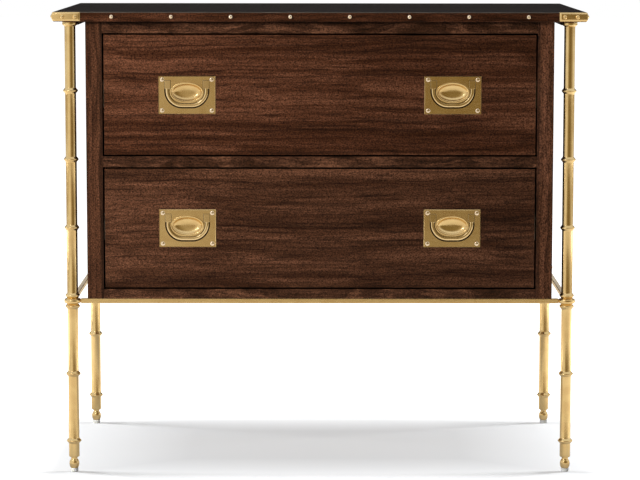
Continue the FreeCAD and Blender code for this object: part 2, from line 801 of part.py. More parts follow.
def make_mortise(name, x, z):
    """The stepped recess that a drawer front gets for one pull."""
    steps = []
    channel_half = bail_half_width + channel_gap + pan_wall
    pan_bottom = bail_bottom + channel_gap + pan_wall
    pan_top = lug_top + channel_clearance + pan_wall
    pan_depth = bowl_depth + pan_wall - plate_proud
    loose = mortise_clearance
    steps.append(board(name + "_flange_step",
                       (x - plate_width / 2 - loose, x + plate_width / 2 + loose),
                       (case_front, case_front + plate_thickness - plate_proud),
                       (z - plate_height / 2 - loose, z + plate_height / 2 + loose)))
    steps.append(board(name + "_pan_step", (x - channel_half - loose, x + channel_half + loose),
                       (case_front, case_front + pan_depth + loose),
                       (z - pan_bottom - loose, z + pan_top + loose)))
    return fuse(name, steps)


# Drawers: dovetailed boxes behind inset fronts

def side_outline(low, high, start, shoulder, rear):
    """A drawer side seen from the right, with its row of tails at the front."""
    pitch = (high - low) / TAILS_PER_SIDE
    outline = [(shoulder, low), (rear, low), (rear, high), (shoulder, high)]
    tip = (pitch - tail_gap) / 2
    root = tip - tail_flare
    for index in reversed(range(TAILS_PER_SIDE)):
        middle = low + pitch * (index + 0.5)
        outline += [(shoulder, middle + root), (start, middle + tip),
                    (start, middle - tip), (shoulder, middle - root)]
    return outline


def make_drawer(tier, screw_kind, opening_low, opening_high):
    front_low = opening_low + drawer_gap
    front_high = opening_high - drawer_gap
    front_half = opening_half - drawer_gap
    side_low = front_low + box_side_rise
    side_high = front_high - box_side_drop
    side_outer = opening_half - slide_space
    side_inside = side_outer - box_side_thickness
    bottom_low = side_low + box_bottom_rise
    bottom_high = bottom_low + box_bottom_thickness
    back_rear = box_rear - box_back_inset
    middle_height = (front_low + front_high) / 2

    back = board(tier + "_back_board", both_ways(side_inside + housing_depth),
                 (back_rear - box_side_thickness, back_rear), (bottom_high, side_high))
    keep(back, tier + "_drawer_back")
    bottom = board(tier + "_bottom_board", both_ways(side_inside + housing_depth),
                   (front_rear - housing_depth, back_rear), (bottom_low, bottom_high))
    keep(bottom, tier + "_drawer_bottom")
    blank = prism(tier + "_side_blank", "YZ_Plane",
                  side_outline(side_low, side_high, front_rear - tail_length, front_rear, box_rear),
                  box_side_thickness, -side_outer, 0, 0)
    left_side = cut(tier + "_left_box_side", blank, [back, bottom])
    keep(left_side, tier + "_drawer_left_side")
    right_side = mirrored(tier + "_right_box_side", left_side)
    keep(right_side, tier + "_drawer_right_side")

    front_board = board(tier + "_front_board", both_ways(front_half),
                        (case_front, front_rear), (front_low, front_high))
    recesses = []
    plates = []
    screws = []
    for side, x in (("left", pull_inset - front_half), ("right", front_half - pull_inset)):
        name = "%s_%s" % (tier, side)
        recesses.append(make_mortise(name + "_mortise", x, middle_height))
        plates.append(make_plate(name + "_plate", x, middle_height))
        keep(make_bail(name + "_bail_shape", x, middle_height), name + "_bail")
        screws += make_screws(name, screw_kind, x, middle_height)
    keep(group(tier + "_plates", plates), tier + "_pull_plates")
    keep(group(tier + "_screws", screws), tier + "_pull_screws")
    right_blank = mirrored(tier + "_right_side_blank", blank)
    keep(cut(tier + "_front_cut", front_board, recesses + [blank, right_blank, bottom]),
         tier + "_drawer_front")
    make_slides(tier, (side_low + side_high) / 2)
    return (tier, (side_low + side_high) / 2)


def make_screws(name, kind, x, z):
    heads = []
    reach_x = plate_width / 2 - screw_inset
    reach_z = plate_height / 2 - screw_inset
    for sign_x in (-1, 1):
        for sign_z in (-1, 1):
            label = "%s_screw_%d_%d" % (name, sign_x + 1, sign_z + 1)
            heads.append(fastener_head(label, kind, x + sign_x * reach_x, case_front - plate_proud,
                                       z + sign_z * reach_z, (0, -1, 0)))
    return heads


def main():
    head_sockets, foot_sockets = make_studs()
    make_top(head_sockets)
    make_brackets()
    make_nails()
    make_posts(head_sockets, foot_sockets)
    make_legs(foot_sockets)
    make_glides()
    make_rails(foot_sockets)
    make_battens()
    make_case()
    screw_kind = head_kind("screw", screw_diameter, screw_crown, screw_height)
    levels = [make_drawer("upper", screw_kind, upper_opening_low, upper_opening_high),
              make_drawer("lower", screw_kind, lower_opening_low, lower_opening_high)]
    make_packing(levels)
    doc.recompute()
    for item in doc.Objects:
        if "Invalid" in item.State or "Error" in item.State:
            raise RuntimeError("%s failed: %s" % (item.Name, item.State))
    os.makedirs("parts", exist_ok=True)
    for piece in kept:
        if piece.Shape.isNull() or not piece.Shape.isValid():
            raise RuntimeError("%s has no valid shape" % piece.Label)
        piece.Shape.exportStep("parts/%s.step" % piece.Label)
    print("%d pieces written" % len(kept))


main()
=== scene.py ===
import math

import bmesh
import bpy
from mathutils import Matrix, Vector


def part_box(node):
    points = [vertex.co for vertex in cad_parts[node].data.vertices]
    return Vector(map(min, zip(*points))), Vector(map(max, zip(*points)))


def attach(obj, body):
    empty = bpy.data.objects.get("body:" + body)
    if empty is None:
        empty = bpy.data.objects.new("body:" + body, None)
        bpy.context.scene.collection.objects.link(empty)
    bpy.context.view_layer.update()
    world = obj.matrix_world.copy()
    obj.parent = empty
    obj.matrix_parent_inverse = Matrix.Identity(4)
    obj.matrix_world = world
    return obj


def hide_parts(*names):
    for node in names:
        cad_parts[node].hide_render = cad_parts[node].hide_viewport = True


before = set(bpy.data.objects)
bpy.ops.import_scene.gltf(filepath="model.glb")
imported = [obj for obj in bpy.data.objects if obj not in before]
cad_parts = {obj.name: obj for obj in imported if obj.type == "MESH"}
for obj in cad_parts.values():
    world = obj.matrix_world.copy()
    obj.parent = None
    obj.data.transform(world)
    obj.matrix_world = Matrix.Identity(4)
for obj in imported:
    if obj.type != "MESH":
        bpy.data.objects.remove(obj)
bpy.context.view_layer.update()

MM = 0.001


# Camera. The chest was taken almost square on, from just above the level of its top, through a long
# lens, whose axis meets the picture a little above and to the right of its middle.
PICTURE = (640, 480)
CAMERA_PLACE = (0.0048, -4.2819, 0.9024)
CAMERA_YAW = math.radians(-0.277)
CAMERA_PITCH = math.radians(6.396)
CAMERA_ROLL = math.radians(0.073)
FOCAL_PIXELS = 2500.7
LENS_AXIS = (334.8, 205.0)

view = bpy.data.cameras.new("camera")
view.sensor_width = 36
view.lens = FOCAL_PIXELS * view.sensor_width / PICTURE[0]
view.shift_x = (PICTURE[0] / 2 - LENS_AXIS[0]) / PICTURE[0]
view.shift_y = (LENS_AXIS[1] - PICTURE[1] / 2) / PICTURE[0]
view.clip_end = 60
camera = bpy.data.objects.new("camera", view)
bpy.context.scene.collection.objects.link(camera)
camera.matrix_world = (Matrix.Translation(CAMERA_PLACE) @ Matrix.Rotation(CAMERA_YAW, 4, "Z")
                       @ Matrix.Rotation(math.radians(90) - CAMERA_PITCH, 4, "X")
                       @ Matrix.Rotation(CAMERA_ROLL, 4, "Z"))
bpy.context.scene.camera = camera


# Brass posts. Each upper post is one length of solid brass bar, turned with four bamboo rings and a
# collar on which the top lies; a stud screws its foot to the corner disc below it.
POST_X = 407
POST_Y = 203.5
POST_RADIUS = 9
POST_TOP = 746
COLLAR = [(738, POST_RADIUS), (738.3, 9.5), (740.2, 12.1), (740.7, 12.4), (741.2, 12.5),
          (745.3, 12.5), (745.8, 12.3), (POST_TOP, 11.8)]
RING_RADIUS = 12.2
UPPER_RINGS = (295.5, 408, 520.5, 633)
BRASS = (0.82, 0.61, 0.30)
DULL_BRASS = (0.75, 0.53, 0.245)


class Socket:
    """One output in a finish; a sum or product of it is a Math node."""

    def __init__(self, finish, output):
        self.finish = finish
        self.output = output

    def maths(self, operation, first, second):
        return self.finish.node("ShaderNodeMath", {"operation": operation}, {0: first, 1: second})

    def __add__(self, other):
        return self.maths("ADD", self, other)

    def __radd__(self, other):
        return self.maths("ADD", other, self)

    def __sub__(self, other):
        return self.maths("SUBTRACT", self, other)

    def __rsub__(self, other):
        return self.maths("SUBTRACT", other, self)

    def __mul__(self, other):
        return self.maths("MULTIPLY", self, other)

    def __rmul__(self, other):
        return self.maths("MULTIPLY", other, self)

    def least(self, other):
        return self.maths("MINIMUM", self, other)

    def most(self, other):
        return self.maths("MAXIMUM", self, other)


class Finish:
    """One material, or the world round the chest: its node tree, its shader, and the one method that
    adds any node."""

    def __init__(self, name, world=False):
        self.material = (bpy.data.worlds if world else bpy.data.materials).new(name)
        self.material.use_nodes = True
        self.tree = self.material.node_tree
        self.shader = self.tree.nodes["Background" if world else "Principled BSDF"]

    def node(self, kind, settings=None, sockets=None, output=0):
        made = self.tree.nodes.new(kind)
        for name, value in (settings or {}).items():
            if name == "stops":
                ramp = made.color_ramp
                while len(ramp.elements) < len(value):
                    ramp.elements.new(0.5)
                for element, (place, colour) in zip(ramp.elements, value):
                    element.position = place
                    element.color = (*colour, 1)
            else:
                setattr(made, name, value)
        for name, value in (sockets or {}).items():
            self.feed(made.inputs[name], value)
        return Socket(self, made.outputs[output])

    def feed(self, target, value):
        if isinstance(value, Socket):
            self.tree.links.new(value.output, target)
        elif target.type == "RGBA":
            target.default_value = (*value, 1)
        else:
            target.default_value = value

    def set(self, **values):
        for name, value in values.items():
            self.feed(self.shader.inputs[name.replace("_", " ")], value)

    def place(self, stretch=(1, 1, 1), shift=0.0):
        """Object coordinates, in metres times the stretch, plus the shift."""
        where = self.node("ShaderNodeTexCoord", output="Object")
        return self.node("ShaderNodeMapping", sockets={
            "Vector": where, "Scale": stretch, "Location": (shift,) * 3})

    def along(self, axis):
        """The place along one axis of the chest, in metres."""
        return self.node("ShaderNodeSeparateXYZ", sockets={0: self.place()}, output=axis.upper())

    def noise(self, where, scale, detail, roughness=0.5, output=0):
        return self.node("ShaderNodeTexNoise", sockets={
            "Vector": where, "Scale": scale, "Detail": detail, "Roughness": roughness}, output=output)

    def blend(self, share, first, second, kind="MIX"):
        return self.node("ShaderNodeMix", {"data_type": "RGBA", "blend_type": kind},
                         {0: share, 6: first, 7: second}, output=2)

    def between(self, value, low, high, to_low=0, to_high=1):
        """A smooth step from nought at the low value, or another start, to one at the high value."""
        return self.node("ShaderNodeMapRange", {"interpolation_type": "SMOOTHSTEP"},
                         {0: value, 1: low, 2: high, 3: to_low, 4: to_high})

    def bump(self, height, depth, strength):
        return self.node("ShaderNodeBump", sockets={
            "Height": height, "Distance": depth, "Strength": strength})


def brushed(name, roughness, strokes, depth=0.00001, colour=BRASS, dull=DULL_BRASS):
    """Lacquered brass, brushed along its strokes: a slight mottle in colour, fine lines in gloss."""
    finish = Finish(name)
    cloud = finish.noise(finish.place(), 38, 3)
    lines = finish.noise(finish.place(strokes), 1, 2, 0.6)
    finish.set(Base_Color=finish.blend(finish.between(cloud, 0.35, 0.7), colour, dull), Metallic=1.0,
               Roughness=roughness + (lines - 0.5) * 0.1 + (cloud - 0.5) * 0.08,
               Normal=finish.bump(lines, depth, 0.6))
    return finish


def choose(piece):
    """Makes one piece the only thing selected."""
    bpy.ops.object.select_all(action="DESELECT")
    piece.select_set(True)
    bpy.context.view_layer.objects.active = piece
    return piece


def settle(piece, angle=35, flat=False):
    """Puts a piece's place into its mesh, and smooths what isn't an edge; flat faces may stay truly
    flat beside the rounding of their edges."""
    choose(piece)
    bpy.ops.object.transform_apply(location=True, rotation=True, scale=True)
    bpy.ops.object.shade_smooth_by_angle(angle=math.radians(angle))
    if flat:
        level = piece.modifiers.new("level", "WEIGHTED_NORMAL")
        level.keep_sharp = True
        bpy.ops.object.modifier_apply(modifier="level")
    return piece


def turn(name, x, y, profile, sides=48):
    """Turns a piece round an upright axis; the profile gives heights and radii in mm, from the foot
    up. A radius may be a pair, for a piece that is oval seen from above."""
    bpy.ops.object.select_all(action="DESELECT")
    steps = [(z, r if isinstance(r, tuple) else (r, r)) for z, r in profile]
    height, (wide, deep) = steps[0]
    bpy.ops.mesh.primitive_circle_add(vertices=sides, radius=1, fill_type="NGON",
                                      location=(x * MM, y * MM, height * MM))
    piece = bpy.context.active_object
    piece.name = name
    piece.scale = (wide * MM, deep * MM, 1)
    bpy.ops.object.transform_apply(location=True, rotation=True, scale=True)
    bpy.ops.object.mode_set(mode="EDIT")
    bpy.ops.mesh.select_all(action="SELECT")
    for next_height, (next_wide, next_deep) in steps[1:]:
        bpy.ops.mesh.extrude_region_move(
            TRANSFORM_OT_translate={"value": (0, 0, (next_height - height) * MM)})
        bpy.ops.transform.resize(value=(next_wide / wide, next_deep / deep, 1),
                                 center_override=(x * MM, y * MM, next_height * MM))
        height, wide, deep = next_height, next_wide, next_deep
    bpy.ops.mesh.select_all(action="SELECT")
    bpy.ops.mesh.normals_make_consistent(inside=False)
    bpy.ops.object.mode_set(mode="OBJECT")
    return settle(piece)


def copy(piece, name, x=0, y=0, z=0):
    """A copy of a finished piece with a mesh of its own, moved by so many mm."""
    choose(piece)
    bpy.ops.object.duplicate(linked=False)
    twin = bpy.context.active_object
    twin.name = name
    twin.location = (x * MM, y * MM, z * MM)
    bpy.ops.object.transform_apply(location=True, rotation=False, scale=False)
    return twin


def at_corners(first, kind):
    """A piece made for the front left corner and its copies for the others, by corner."""
    pieces = {"front_left": first}
    for corner, right, rear in (("front_right", 1, 0), ("rear_left", 0, 1), ("rear_right", 1, 1)):
        pieces[corner] = copy(first, corner + "_" + kind, 2 * POST_X * right, 2 * POST_Y * rear)
    return pieces


def join(name, pieces):
    """Joins pieces of one kind that share a node."""
    choose(pieces[0])
    for piece in pieces:
        piece.select_set(True)
    bpy.ops.object.join()
    pieces[0].name = name
    return pieces[0]


def fit(piece, body, finish, node):
    """Gives a piece its finish, unless it has one, and lets it stand for its node on its body."""
    if finish:
        piece.data.materials.clear()
        piece.data.materials.append(finish.material)
    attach(piece, body)
    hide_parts(node)


def ring(middle, shaft):
    """A bamboo ring: two cones with a rounded crest, running out into the shaft."""
    rise = [(-5, shaft), (-4.5, shaft + 0.1), (-3.9, shaft + 0.5),
            (-1.2, RING_RADIUS - 0.5), (-0.6, RING_RADIUS - 0.1)]
    fall = [(-height, radius) for height, radius in reversed(rise)]
    return [(middle + height, radius) for height, radius in rise + [(0, RING_RADIUS)] + fall]


post_brass = brushed("post_brass", 0.2, (900, 900, 30), 0.000003)
post_profile = []
for middle in UPPER_RINGS:
    post_profile += ring(middle, POST_RADIUS)
posts = at_corners(turn("front_left_post", -POST_X, -POST_Y, post_profile + COLLAR), "post")
for corner, post in posts.items():
    fit(post, "chest", post_brass, corner + "_upper_post")


# Brass legs. Each lower leg is turned from a slightly thinner bar with three more rings, and ends in
# a short neck and an egg-shaped foot; a stud screws its head to the corner disc.
LEG_RADIUS = 8.75
LOWER_RINGS = (52.5, 165, 277.5)
FOOT_LEVEL = 14.5
FOOT_RADIUS = 8.25
FOOT_BELOW = 12
FOOT_ABOVE = 9.4
NECK = [(22.6, 5.3), (24.6, 5.4), (24.9, 6.2), (25.0, 7.0), (25.35, 7.9), (26.1, 8.5),
        (27.1, LEG_RADIUS)]

leg_profile = [(6.5, 5.6), (6.8, 6.2)]
for step in range(4, -1, -1):
    slope = math.radians(8 * step)
    leg_profile.append((FOOT_LEVEL - FOOT_BELOW * math.sin(slope), FOOT_RADIUS * math.cos(slope)))
for step in range(1, 6):
    slope = math.radians(9.6 * step)
    leg_profile.append((FOOT_LEVEL + FOOT_ABOVE * math.sin(slope), FOOT_RADIUS * math.cos(slope)))
leg_profile += NECK
for middle in LOWER_RINGS:
    leg_profile += ring(middle, LEG_RADIUS)
legs = at_corners(turn("front_left_leg", -POST_X, -POST_Y, leg_profile), "leg")
for corner, leg in legs.items():
    fit(leg, "chest", post_brass, corner.split("_")[0] + "_lower_legs")


# Glides. A milky nylon disc is pressed under each foot, and keeps the brass off the floor.
GLIDE = [(0, 5.5), (0.5, 6.1), (1.2, 6.25), (5.6, 6.5), (6.2, 6.35), (6.5, 5.9)]

nylon = Finish("nylon")
haze = nylon.noise(nylon.place(), 240, 2)
nylon.set(Base_Color=nylon.blend(haze, (0.86, 0.86, 0.83), (0.80, 0.80, 0.76)),
          Roughness=0.38 + haze * 0.12, Subsurface_Weight=0.25,
          Subsurface_Radius=(0.002, 0.002, 0.0015))
glides = at_corners(turn("front_left_glide", -POST_X, -POST_Y, GLIDE, 40), "glide")
fit(join("nylon_glides", list(glides.values())), "chest", nylon, "foot_glides")


# Corner discs. A thick disc with a rounded edge stands between each post and leg, drilled for both
# studs; the ends of two rails lie against it.
DISC = [(282.5, 11.2), (282.9, 12.4), (283.7, 13.3), (284.8, 13.85), (286.5, 14),
        (288.2, 13.85), (289.3, 13.3), (290.1, 12.4), (290.5, 11.2)]

discs = at_corners(turn("front_left_disc", -POST_X, -POST_Y, DISC, 56), "disc")
fit(join("corner_discs", list(discs.values())), "chest", post_brass, "rail_corner_discs")


# Brass rails. Four square bars, brushed along their length, run from disc to disc under the case and
# carry it; their long edges are well rounded.
def ease(node, name, width, segments=2):
    """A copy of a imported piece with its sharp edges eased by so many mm."""
    piece = bpy.data.objects.new(name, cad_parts[node].data.copy())
    bpy.context.scene.collection.objects.link(piece)
    choose(piece)
    bpy.ops.object.mode_set(mode="EDIT")
    bpy.ops.mesh.select_all(action="SELECT")
    bpy.ops.mesh.remove_doubles(threshold=0.000005)
    bpy.ops.mesh.dissolve_limited(angle_limit=math.radians(0.5))
    bpy.ops.object.mode_set(mode="OBJECT")
    edges = piece.modifiers.new("eased", "BEVEL")
    edges.width = width * MM
    edges.segments = segments
    edges.limit_method = "ANGLE"
    edges.angle_limit = math.radians(30)
    bpy.ops.object.modifier_apply(modifier="eased")
    return settle(piece, flat=True)


rail_brass = brushed("rail_brass", 0.26, (30, 1000, 1000))
side_rail_brass = brushed("side_rail_brass", 0.26, (1000, 30, 1000))
for side, brass in (("front", rail_brass), ("rear", rail_brass),
                    ("left", side_rail_brass), ("right", side_rail_brass)):
    node = side + "_brass_rail"
    fit(ease(node, side + "_rail_bar", 2, 5), "chest", brass, node)


# Top. A slab of solid walnut: the upper face is stained charcoal, and the edges keep the brown of the
# case; the arris between them is eased, and a paler band along it is a painted highlight.
DARK = (0.035, 0.0102, 0.0032)
BROWN = (0.074, 0.0245, 0.0102)
LIGHT = (0.150, 0.0555, 0.0265)
GRAIN_CONTRAST = 1.1
LINE_DEPTH = 0.46
FLECK_CONTRAST = 4.6
PORE_DEPTH = 0.35
PAINTED_RIM_SHADE = 0.42
PAINTED_GAP_SHADE = 0.12
SIDE_STEP = (0.00005, 0.0003)
ARRIS_HIGHLIGHT_STEP = (0.7604, 0.7608)
CHARCOAL_STEP = (0.7617, 0.7619)


def grain(name, along, node=None, faces="", tones=(DARK, BROWN, LIGHT), wave=0.5, shift=0.0, rim=None):
    """Dark-stained walnut, and its colour. Bands, streaks, dark lines, flecks and short open pores run
    along one axis of the chest. On a board of its own node, the sides across the named axes,
    seen in the gaps, are darkened by painted shade, and so is a rim, given as the low or high
    side and its width in mm."""
    finish = Finish(name)

    def run(across, lengthways):
        """Places scaled for so many repeats a metre across the grain and along it."""
        stretch = [across] * 3
        stretch[along] = lengthways
        return finish.place(stretch, shift)

    bend = finish.node("ShaderNodeVectorMath", {"operation": "SUBTRACT"},
                       {0: finish.noise(finish.place(), 5, 2, output=1), 1: (0.5, 0.5, 0.5)})

    def swayed(across, lengthways, much):
        """The same, swaying by so much with the slow bends of the board."""
        return finish.node("ShaderNodeVectorMath", {"operation": "MULTIPLY_ADD"},
                           {0: bend, 1: (much,) * 3, 2: run(across, lengthways)})

    bands = finish.noise(swayed(26, 1.2, wave * 2), 1, 2)
    streaks = finish.noise(swayed(115, 2.6, wave * 5), 1, 3, 0.62)
    lines = finish.between(finish.noise(swayed(240, 2.2, wave * 9), 1, 2), 0.52, 0.66)
    fibres = finish.noise(run(340, 13), 1, 3, 0.65)
    flecks = finish.noise(run(560, 380), 1, 2, 0.7)
    pores = finish.between(finish.noise(run(1000, 75), 1, 1), 0.55, 0.68)
    tone = (bands * 0.38 + streaks * 0.38 + fibres * 0.24 - 0.5) * GRAIN_CONTRAST + 0.5
    colour = finish.node("ShaderNodeValToRGB", {"stops": list(zip((0.39, 0.50, 0.61), tones))},
                         {0: tone})
    shade = ((1 - lines * LINE_DEPTH) * ((flecks - 0.5) * FLECK_CONTRAST + 1)
             * (1 - pores * PORE_DEPTH))
    inward = None
    for axis in faces:
        place = finish.along(axis)
        low, high = (corner["xyz".index(axis)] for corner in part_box(node))
        gaps = {"low": place - low, "high": high - place}
        gap = gaps["low"].least(gaps["high"])
        inward = inward.least(gap) if inward else gap
        # A rim of the board darkens towards its edge: painted shade.
        if rim:
            side, width = rim
            shade = shade * finish.between(gaps[side], width * MM / 4, width * MM, PAINTED_RIM_SHADE, 1)
    # The sides seen in the gaps are darkened to near black: painted shade.
    if inward:
        shade = shade * finish.between(inward, *SIDE_STEP, PAINTED_GAP_SHADE, 1)
    colour = finish.blend(1.0, colour, shade, "MULTIPLY")
    finish.set(Base_Color=colour, Roughness=0.42 + pores * 0.15 + (fibres - 0.5) * 0.2,
               Specular_IOR_Level=0.1, Normal=finish.bump(fibres * 0.4 - pores, 0.00005, 0.4))
    return finish, colour


stained, edge_brown = grain("charcoal_top", 0, wave=1.2)
char_grain = stained.noise(stained.place((6, 120, 120)), 1, 3, 0.6)
charcoal = stained.blend(char_grain, (0.011, 0.0085, 0.008), (0.026, 0.021, 0.020))
# A paler mottled band along the arris, between the brown edge and the charcoal face: a painted
# highlight.
highlight_mottle = stained.noise(stained.place((25, 300, 300)), 1, 2)
painted_arris_highlight = stained.blend(highlight_mottle, (0.03, 0.025, 0.02), (0.13, 0.11, 0.09))
level = stained.along("z")
below = stained.blend(stained.between(level, *ARRIS_HIGHLIGHT_STEP), edge_brown, painted_arris_highlight)
stained.set(Base_Color=stained.blend(stained.between(level, *CHARCOAL_STEP), below, charcoal))
fit(ease("top_slab", "charcoal_topped_slab", 0.35), "chest", stained, "top_slab")


# Corner brackets. Brass angles wrap the four corners of the slab's edge, each face raised inside a
# wide shallow bevel; two nails through each face hold them.
SLAB_HALF = (432, 228.5)
BRACKET_HALF = (434, 230.5)
BRACKET_LEG = 44
BRACKET_LEVELS = (747.1, 761.5)
BRACKET_EDGE = 0.5
BRACKET_BEVEL = 3
BRACKET_CORNER = 1.6
BRACKET_ARRIS = 0.18


def pick(kind, test):
    """In edit mode, selects the vertices, edges or faces that pass a test, and nothing else."""
    bpy.ops.mesh.select_mode(type=kind)
    bpy.ops.mesh.select_all(action="DESELECT")
    mesh = bmesh.from_edit_mesh(bpy.context.edit_object.data)
    for part in {"VERT": mesh.verts, "EDGE": mesh.edges, "FACE": mesh.faces}[kind]:
        part.select_set(bool(test(part)))
    mesh.select_flush_mode()
    bmesh.update_edit_mesh(bpy.context.edit_object.data)


def block(name, x, y, z, bevel=0.0, test=None, segments=3):
    """A block between pairs of mm along the three axes, with chosen edges bevelled."""
    bpy.ops.object.select_all(action="DESELECT")
    bpy.ops.mesh.primitive_cube_add(size=1, location=tuple((a + b) / 2 * MM for a, b in (x, y, z)))
    piece = bpy.context.active_object
    piece.name = name
    piece.scale = tuple((b - a) * MM for a, b in (x, y, z))
    bpy.ops.object.transform_apply(location=True, rotation=True, scale=True)
    if bevel:
        bpy.ops.object.mode_set(mode="EDIT")
        pick("EDGE", test)
        bpy.ops.mesh.bevel(offset=bevel * MM, segments=segments, profile=0.5)
        bpy.ops.object.mode_set(mode="OBJECT")
    return piece


def combine(piece, other, operation):
    """Cuts another solid out of a piece, or welds it on, and takes the other away."""
    choose(piece)
    work = piece.modifiers.new("work", "BOOLEAN")
    work.operation = operation
    work.solver = "EXACT"
    work.object = other
    bpy.ops.object.modifier_apply(modifier="work")
    bpy.data.objects.remove(other)
    return piece


def make_bracket(name):
    """The front left bracket: a thin angle whose two faces are raised inside their bevel."""
    left, front = -SLAB_HALF[0] - BRACKET_EDGE, -SLAB_HALF[1] - BRACKET_EDGE
    angle = block(name, (left, -SLAB_HALF[0] + BRACKET_LEG), (front, -SLAB_HALF[1]), BRACKET_LEVELS)
    side = block("side", (left, -SLAB_HALF[0]), (front, -SLAB_HALF[1] + BRACKET_LEG), BRACKET_LEVELS)
    angle = combine(angle, side, "UNION")

    def outer(face):
        middle = face.calc_center_median()
        return ((face.normal.y < -0.9 and middle.y < (front + 0.1) * MM)
                or (face.normal.x < -0.9 and middle.x < (left + 0.1) * MM))

    def corner(edge):
        return all(spot.co.x < (left + 0.3) * MM and spot.co.y < (front + 0.3) * MM
                   for spot in edge.verts)

    bpy.ops.object.mode_set(mode="EDIT")
    bpy.ops.mesh.select_all(action="SELECT")
    bpy.ops.mesh.dissolve_limited(angle_limit=math.radians(1))
    pick("FACE", outer)
    bpy.ops.mesh.inset(thickness=BRACKET_BEVEL * MM,
                       depth=(BRACKET_HALF[0] - SLAB_HALF[0] - BRACKET_EDGE) * MM,
                       use_boundary=True, use_even_offset=True)
    pick("EDGE", corner)
    bpy.ops.mesh.bevel(offset=BRACKET_CORNER * MM, segments=3, profile=0.5)
    pick("EDGE", lambda edge: edge.is_manifold and edge.calc_face_angle() > math.radians(20))
    bpy.ops.mesh.bevel(offset=BRACKET_ARRIS * MM, segments=2, profile=0.5)
    bpy.ops.object.mode_set(mode="OBJECT")
    return settle(angle, 30)


def mirror(piece, name, x, y):
    """A mirrored copy of a finished piece, its faces turned outwards again."""
    twin = copy(piece, name)
    twin.scale = (-1 if x else 1, -1 if y else 1, 1)
    choose(twin)
    bpy.ops.object.transform_apply(location=True, rotation=True, scale=True)
    if x != y:
        bpy.ops.object.mode_set(mode="EDIT")
        bpy.ops.mesh.select_all(action="SELECT")
        bpy.ops.mesh.normals_make_consistent(inside=False)
        bpy.ops.object.mode_set(mode="OBJECT")
    return twin


bracket_brass = brushed("bracket_brass", 0.28, (60, 60, 1100))
first_bracket = make_bracket("front_left_angle")
brackets = {"front_left": first_bracket,
            "front_right": mirror(first_bracket, "front_right_angle", True, False),
            "rear_left": mirror(first_bracket, "rear_left_angle", False, True),
            "rear_right": mirror(first_bracket, "rear_right_angle", True, True)}
for corner, bracket in brackets.items():
    fit(bracket, "chest", bracket_brass, corner + "_corner_bracket")


# Nails. Domed brass heads are driven along the edge of the top, polished paler than the rest, and
# through the brackets, brushed like them; their shanks are in the wood.
NAIL_RADIUS = 3.7
NAIL_DOME = 3.4
NAIL_LEVEL = 754
FRONT_NAILS = 8
FRONT_PITCH = 96.5
SIDE_NAILS = (-110, 0, 110)
BRACKET_NAILS_X = (396.5, 417)
BRACKET_NAILS_Y = (-213.5, -193, 193, 213.5)
DOME_EDGE = 0.12
DOME_STEPS = 5
DOME_SLOPES = (12, 86)
LOW_SINE = 0.2079


def dome(name, radius, height, sides=20):
    """A domed head standing on the floor of the scene: a short edge, and above it part of an arc,
    between a low slope and a high one."""
    low, high = DOME_SLOPES
    high_sine = math.sin(math.radians(high))
    profile = [(0, radius * 0.94), (height * DOME_EDGE, radius)]
    for step in range(1, DOME_STEPS + 1):
        slope = math.radians(low + (high - low) * step / DOME_STEPS)
        rise = (1 - DOME_EDGE) * (math.sin(slope) - LOW_SINE) / (high_sine - LOW_SINE)
        profile.append((height * (DOME_EDGE + rise),
                        radius * math.cos(slope) / math.cos(math.radians(low))))
    return turn(name, 0, 0, profile, sides)


def drive(head, name, place, towards):
    """Copies a head to a place in mm, its crown pointing left, right, forward or back."""
    twin = copy(head, name)
    turned = {"left": (0, -90, 0), "right": (0, 90, 0),
              "front": (90, 0, 0), "rear": (-90, 0, 0)}[towards]
    twin.rotation_euler = tuple(math.radians(a) for a in turned)
    twin.location = tuple(c * MM for c in place)
    choose(twin)
    bpy.ops.object.transform_apply(location=True, rotation=True, scale=False)
    return twin


bright_brass = brushed("bright_brass", 0.2, (400, 400, 400), 0.000002,
                       (0.92, 0.78, 0.61), (0.86, 0.70, 0.52))
nail = dome("nail", NAIL_RADIUS, NAIL_DOME)
nail.data.materials.append(bright_brass.material)
nail.data.materials.append(bracket_brass.material)
nails = []
for index in range(FRONT_NAILS):
    x = (index - (FRONT_NAILS - 1) / 2) * FRONT_PITCH
    nails.append(drive(nail, "nail", (x, -SLAB_HALF[1], NAIL_LEVEL), "front"))
for side, towards in ((-1, "left"), (1, "right")):
    for y in SIDE_NAILS:
        nails.append(drive(nail, "nail", (side * SLAB_HALF[0], y, NAIL_LEVEL), towards))
    places = [((side * BRACKET_HALF[0], y, NAIL_LEVEL), towards) for y in BRACKET_NAILS_Y]
    for x in BRACKET_NAILS_X:
        places.append(((side * x, -BRACKET_HALF[1], NAIL_LEVEL), "front"))
        places.append(((side * x, BRACKET_HALF[1], NAIL_LEVEL), "rear"))
    for place, way in places:
        head = drive(nail, "nail", place, way)
        for face in head.data.polygons:
            face.material_index = 1
        nails.append(head)
bpy.data.objects.remove(nail)
fit(join("domed_nails", nails), "chest", None, "top_nails")


# Case. Boards of dark walnut: stiles and panels have upright grain, the rails of the face frame are
# tenoned into the stiles, and battens run from collar to collar under the top.
RAIL_TONES = ((0.034, 0.0125, 0.005), (0.070, 0.0275, 0.0135), (0.175, 0.072, 0.036))
STILE_TONES = ((0.052, 0.019, 0.0085), (0.118, 0.045, 0.021), (0.190, 0.075, 0.039))
PAINTED_SHADE_BATTEN_TONES = ((0.016, 0.010, 0.008), (0.035, 0.018, 0.012), (0.06, 0.028, 0.017))
# Each board: its node, the axis of its grain, the axes across which its sides show in gaps, and a rim
# of painted shade: under the slab at the top rail's upper edge, and beside the drawers at each stile's
# inner edge.
CASE_BOARDS = (("top_rail", 0, "z", ("high", 5)), ("mid_rail", 0, "z", None),
               ("bottom_rail", 0, "z", None), ("left_stile", 2, "x", ("high", 8)),
               ("right_stile", 2, "x", ("low", 8)), ("left_side_panel", 2, "", None),
               ("right_side_panel", 2, "", None), ("back_panel", 2, "", None))

